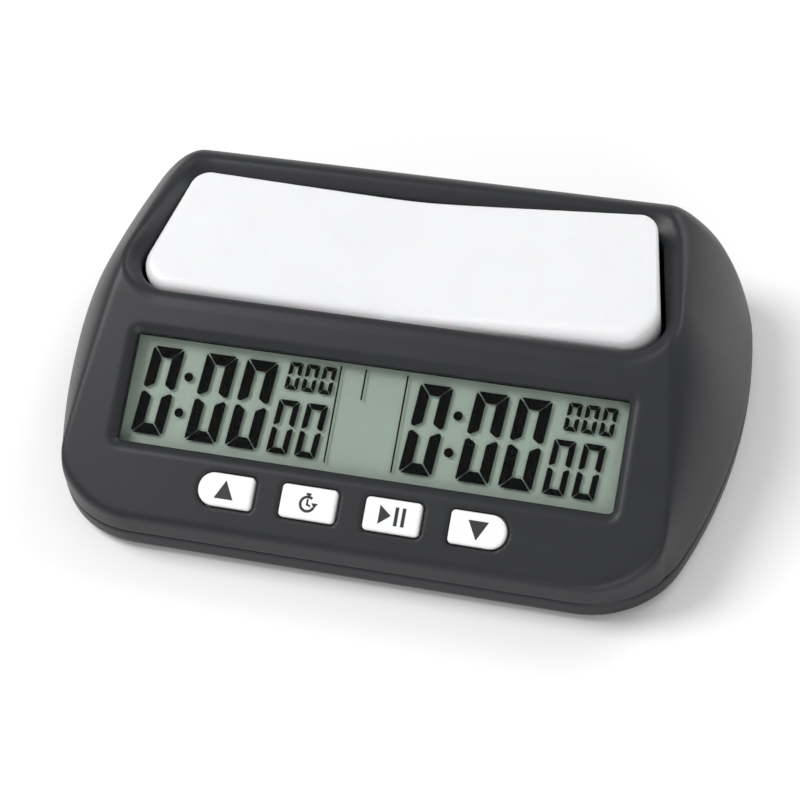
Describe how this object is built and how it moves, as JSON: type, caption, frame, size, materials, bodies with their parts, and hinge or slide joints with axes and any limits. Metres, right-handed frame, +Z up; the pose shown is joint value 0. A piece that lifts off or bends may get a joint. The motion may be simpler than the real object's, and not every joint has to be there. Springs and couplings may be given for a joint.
{
  "type": "chess clock",
  "caption": "Digital chess clock: a seesaw rocker on top, a sloping panel with a wide display and push keys, and a sliding battery door underneath.",
  "frame": {"origin": "on the surface the clock stands on, under the middle of its bounding box", "axes": "+X to the right as a user faces the display, along the longest side; +Y from the display edge to the back; +Z up"},
  "size_m": [0.13, 0.082, 0.0337],
  "materials": {
    "housing": "satin charcoal moulded plastic with a fine spark texture",
    "rocker_white": "satin white moulded plastic",
    "key_white": "smooth white moulded plastic",
    "clear_lens": "clear acrylic",
    "lcd_glass": "clear glass",
    "polarizer": "neutral grey film",
    "reflector": "grey-green metallised film",
    "frame_plastic": "moulded white plastic",
    "zebra_rubber": "layered conductive rubber",
    "circuit_board": "glass-fibre board with green solder mask",
    "epoxy": "cast black epoxy",
    "component_tan": "ceramic",
    "component_black": "moulded",
    "silicone": "translucent grey silicone",
    "rubber": "matte black rubber",
    "steel": "zinc plated",
    "spring_steel": "nickel plated",
    "cell_wrap": "plain printed sleeve",
    "brass_disc": "rolled brass",
    "ceramic": "silvered ceramic",
    "wire_red": "soft insulation",
    "wire_black": "soft insulation",
    "wire_grey": "soft insulation",
    "wire_yellow": "soft insulation"
  },
  "bodies": {
    "root": {"upper_housing": "housing", "base_shell": "housing", "rubber_feet": "rubber", "display_lens": "clear_lens", "display_gasket": "rubber", "front_polarizer": "polarizer", "lcd_front_glass": "lcd_glass", "lcd_rear_glass": "lcd_glass", "lcd_reflector": "reflector", "lcd_holder": "frame_plastic", "zebra_strip": "zebra_rubber", "main_board": "circuit_board", "controller_blob": "epoxy", "crystal": "steel", "capacitors": "component_tan", "resistors": "component_black", "keypad": "silicone", "board_screws": "steel", "housing_screws": "steel", "battery_cell": "cell_wrap", "battery_spring": "spring_steel", "negative_contact": "spring_steel", "positive_contact": "spring_steel", "buzzer_disc": "brass_disc", "buzzer_ceramic": "ceramic", "switch_board": "circuit_board", "switch_body": "steel", "battery_lead_red": "wire_red", "battery_lead_black": "wire_black", "buzzer_leads": "wire_grey", "switch_leads": "wire_yellow", "rocker_axle": "steel", "bumper_pads": "rubber"},
    "rocker": {"rocker": "rocker_white"},
    "slider": {"switch_slider": "component_black"},
    "door": {"battery_door": "housing"},
    "key_up": {"key_up": "key_white"},
    "key_mode": {"key_mode": "key_white"},
    "key_play_pause": {"key_play_pause": "key_white"},
    "key_down": {"key_down": "key_white"}
  },
  "joints": [
    {"name": "rocker_pivot", "type": "hinge", "parent": "root", "child": "rocker", "pos_m": [0, 0, 0.024], "axis": [0, 1, 0], "range_deg": [0, 3.6]},
    {"name": "switch_slide", "type": "slide", "parent": "root", "child": "slider", "axis": [0, 0, -1], "range_m": [0, 0.00214]},
    {"name": "door_slide", "type": "slide", "parent": "root", "child": "door", "axis": [0, 1, 0], "range_m": [0, 0.024]},
    {"name": "key_up_press", "type": "slide", "parent": "root", "child": "key_up", "axis": [0, 0.454, -0.891], "range_m": [0, 0.0007], "stiffness_N_per_m": 500, "springref_m": -0.0004, "deforming": ["keypad"]},
    {"name": "key_mode_press", "type": "slide", "parent": "root", "child": "key_mode", "axis": [0, 0.454, -0.891], "range_m": [0, 0.0007], "stiffness_N_per_m": 500, "springref_m": -0.0004, "deforming": ["keypad"]},
    {"name": "key_play_pause_press", "type": "slide", "parent": "root", "child": "key_play_pause", "axis": [0, 0.454, -0.891], "range_m": [0, 0.0007], "stiffness_N_per_m": 500, "springref_m": -0.0004, "deforming": ["keypad"]},
    {"name": "key_down_press", "type": "slide", "parent": "root", "child": "key_down", "axis": [0, 0.454, -0.891], "range_m": [0, 0.0007], "stiffness_N_per_m": 500, "springref_m": -0.0004, "deforming": ["keypad"]}
  ],
  "couplings": [
    {"joint": "switch_slide", "follows": "rocker_pivot", "m_per_rad": 0.034}
  ]
}
